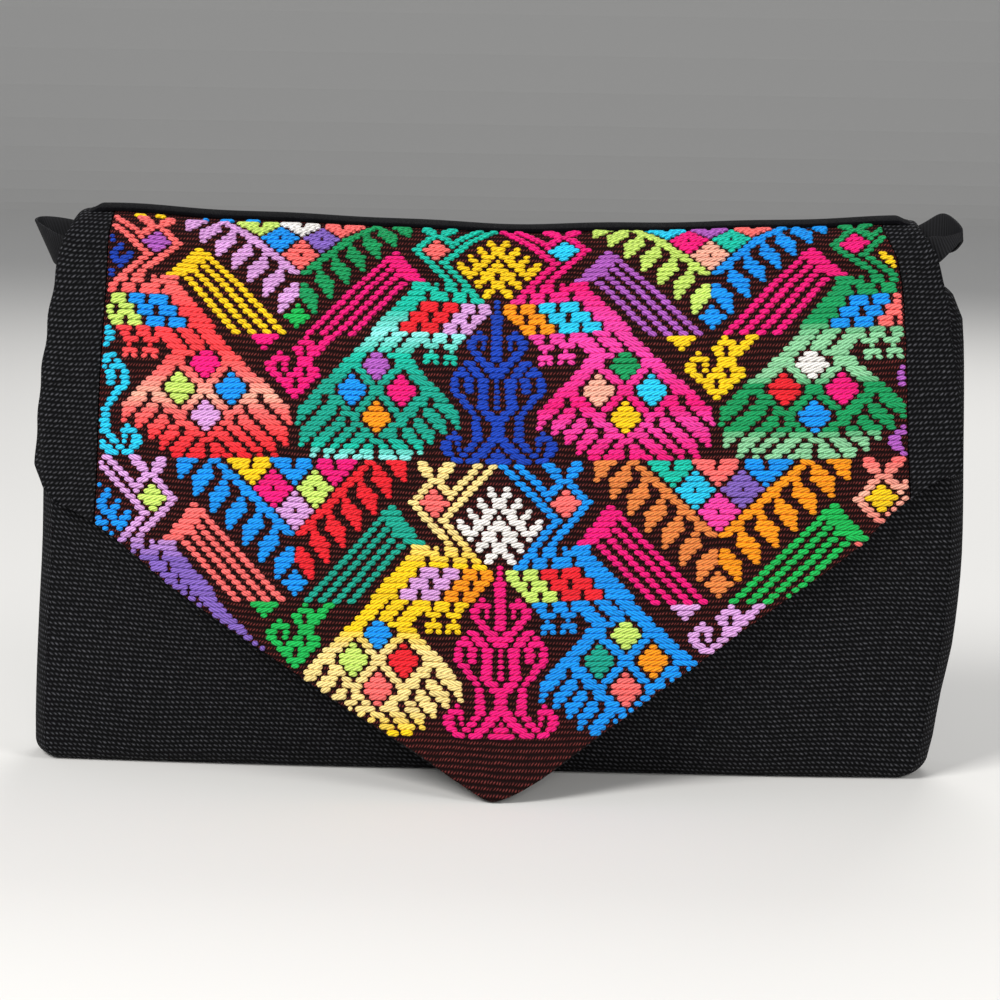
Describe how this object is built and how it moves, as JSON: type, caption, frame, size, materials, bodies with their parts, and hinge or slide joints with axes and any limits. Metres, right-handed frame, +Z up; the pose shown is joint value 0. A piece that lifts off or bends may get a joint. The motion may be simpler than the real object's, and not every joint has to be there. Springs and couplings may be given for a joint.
{
  "type": "embroidered envelope clutch",
  "caption": "Envelope clutch bag: a stuffed cloth pouch on a flat base, with a pointed fold-over flap and a ribbon loop at each top corner.",
  "frame": {"origin": "middle of the base's underside, on the surface that the clutch stands on", "axes": "+Z up, +X along the clutch's width, -Y out of the front where the flap hangs"},
  "size_m": [0.2899, 0.0709, 0.1735],
  "materials": {
    "black_cloth": "horizontally ribbed hand-woven cotton, matte",
    "brocade": "ribbed dark brown ground with thick coloured cotton stitches, soft sheen",
    "velvet": "velvet binding",
    "ribbon": "grosgrain ribbon with a slight sheen",
    "steel": "nickel-plated magnet, hidden under the flap"
  },
  "bodies": {
    "root": {"base_panel": "black_cloth", "front_panel": "black_cloth", "back_panel": "black_cloth", "side_panel_left": "black_cloth", "side_panel_right": "black_cloth", "flap_lining": "black_cloth", "brocade_panel": "brocade", "border_left": "black_cloth", "border_right": "black_cloth", "velvet_band": "velvet", "ribbon_loop_left": "ribbon", "ribbon_loop_right": "ribbon", "magnetic_snap": "steel"}
  },
  "joints": []
}
